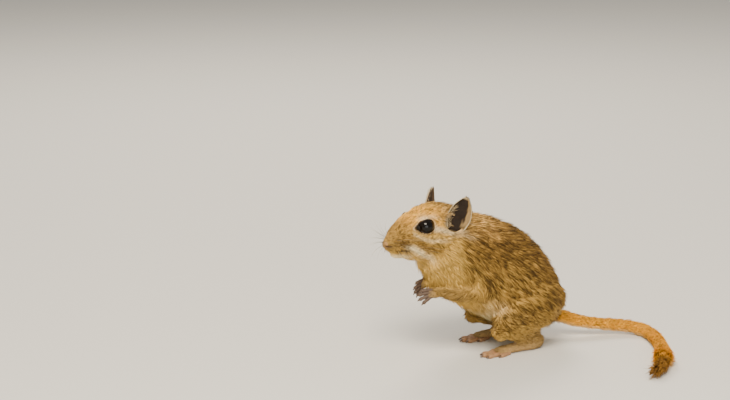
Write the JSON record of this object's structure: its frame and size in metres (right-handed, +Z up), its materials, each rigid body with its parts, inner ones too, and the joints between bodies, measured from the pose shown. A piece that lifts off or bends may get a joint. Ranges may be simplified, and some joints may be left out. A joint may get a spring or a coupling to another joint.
{
  "type": "mongolian gerbil model",
  "caption": "Life-size still model of a sandy agouti gerbil, half upright on its long hind feet, forepaws held at the chest, tail with a dark brush curling round.",
  "frame": {"origin": "on the floor, under the middle of the whole animal's box, tail included", "axes": "+Z up, the animal faces -X and its own left side is -Y; the tail runs back along +X and curls to -Y"},
  "size_m": [0.1274, 0.0976, 0.0726],
  "materials": {
    "agouti_coat": "short dense fur, golden brown with dark tips",
    "cream_coat": "short pale fur",
    "bare_skin": "thin-haired paw skin, matt, with dark claws",
    "ear_skin": "thin dark ear skin, matt",
    "eye_gloss": "black, wet gloss",
    "tuft_coat": "dark brown tail brush"
  },
  "bodies": {
    "root": {"belly": "agouti_coat", "chest": "agouti_coat", "ear_left": "ear_skin", "ear_right": "ear_skin", "eye_left": "eye_gloss", "eye_right": "eye_gloss", "foot_left": "bare_skin", "foot_right": "bare_skin", "forearm_left": "cream_coat", "forearm_right": "cream_coat", "hand_left": "bare_skin", "hand_right": "bare_skin", "haunch_left": "agouti_coat", "haunch_right": "agouti_coat", "head": "agouti_coat", "neck": "agouti_coat", "tail_1": "agouti_coat", "tail_2": "agouti_coat", "tail_3": "agouti_coat", "tail_4": "agouti_coat", "tail_5": "agouti_coat", "tail_tuft": "tuft_coat", "upper_arm_left": "agouti_coat", "upper_arm_right": "agouti_coat"}
  },
  "joints": []
}
